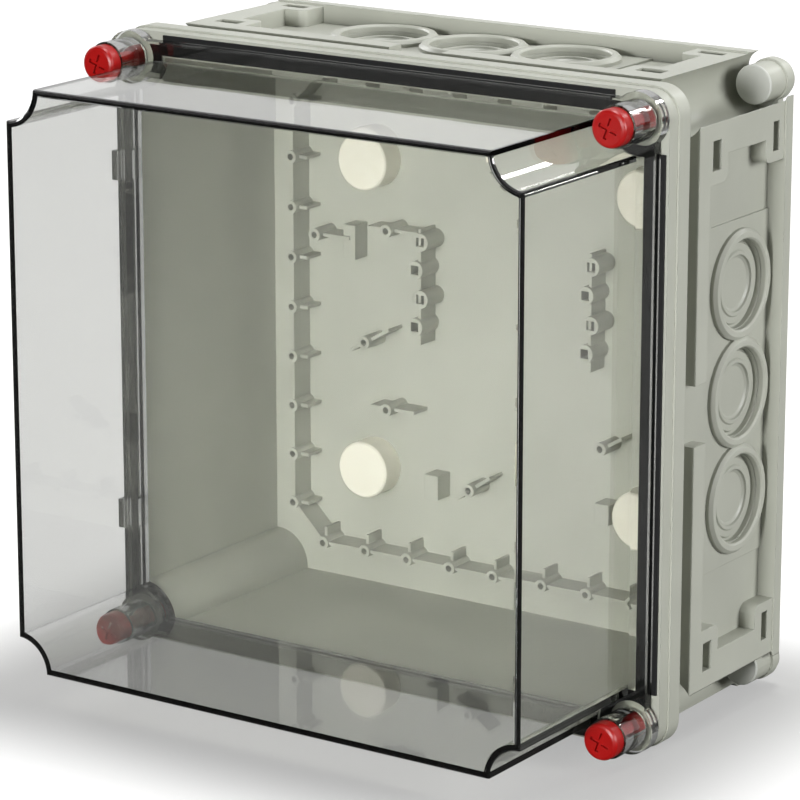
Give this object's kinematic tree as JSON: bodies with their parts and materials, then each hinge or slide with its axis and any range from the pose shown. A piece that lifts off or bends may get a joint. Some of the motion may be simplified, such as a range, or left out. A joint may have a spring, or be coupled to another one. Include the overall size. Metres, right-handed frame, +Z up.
{
  "type": "hinged polycarbonate enclosure",
  "caption": "Square moulded wall enclosure with a deep smoked hinged lid, captive corner bolts, side knockouts and a bossed back wall.",
  "frame": {"origin": "centre of the wall-fixing pattern, on the plane of the wall that the fixing tubes rest on", "axes": "+Y into the wall, so the lid faces -Y; +Z up; +X to the right as seen from the front, with the hinges on the -X side"},
  "size_m": [0.3, 0.214, 0.3],
  "materials": {
    "base_polycarbonate": "moulded light grey polycarbonate, fine satin",
    "smoked_polycarbonate": "polished see-through smoked polycarbonate",
    "gasket_rubber": "black foamed rubber",
    "bolt_red": "red moulded polyamide",
    "clip_natural": "natural polyamide",
    "cover_grey": "pale grey polyethylene",
    "plug_white": "white polyethylene",
    "pin_steel": "stainless steel rod"
  },
  "bodies": {
    "base": {"base_tub": "base_polycarbonate", "gasket": "gasket_rubber", "hinge_pin_upper": "pin_steel", "hinge_pin_lower": "pin_steel", "fixing_cover_tl": "cover_grey", "fixing_cover_tr": "cover_grey", "fixing_cover_bl": "cover_grey", "fixing_cover_br": "cover_grey", "back_plug_tl": "plug_white", "back_plug_tr": "plug_white", "back_plug_bl": "plug_white", "back_plug_br": "plug_white"},
    "lid": {"lid_shell": "smoked_polycarbonate"},
    "bolt_tl": {"corner_bolt_tl": "bolt_red", "bolt_clip_tl": "clip_natural"},
    "bolt_tr": {"corner_bolt_tr": "bolt_red", "bolt_clip_tr": "clip_natural"},
    "bolt_bl": {"corner_bolt_bl": "bolt_red", "bolt_clip_bl": "clip_natural"},
    "bolt_br": {"corner_bolt_br": "bolt_red", "bolt_clip_br": "clip_natural"}
  },
  "joints": [
    {"name": "lid_hinge", "type": "hinge", "parent": "base", "child": "lid", "pos_m": [-0.147, -0.112, 0], "axis": [0, 0, -1], "range_deg": [0, 110]},
    {"name": "bolt_tl_turn", "type": "hinge", "parent": "lid", "child": "bolt_tl", "pos_m": [-0.137, -0.14, 0.137], "axis": [0, -1, 0], "range_deg": [0, 90]},
    {"name": "bolt_tr_turn", "type": "hinge", "parent": "lid", "child": "bolt_tr", "pos_m": [0.137, -0.14, 0.137], "axis": [0, -1, 0], "range_deg": [0, 90]},
    {"name": "bolt_bl_turn", "type": "hinge", "parent": "lid", "child": "bolt_bl", "pos_m": [-0.137, -0.14, -0.137], "axis": [0, -1, 0], "range_deg": [0, 90]},
    {"name": "bolt_br_turn", "type": "hinge", "parent": "lid", "child": "bolt_br", "pos_m": [0.137, -0.14, -0.137], "axis": [0, -1, 0], "range_deg": [0, 90]}
  ]
}
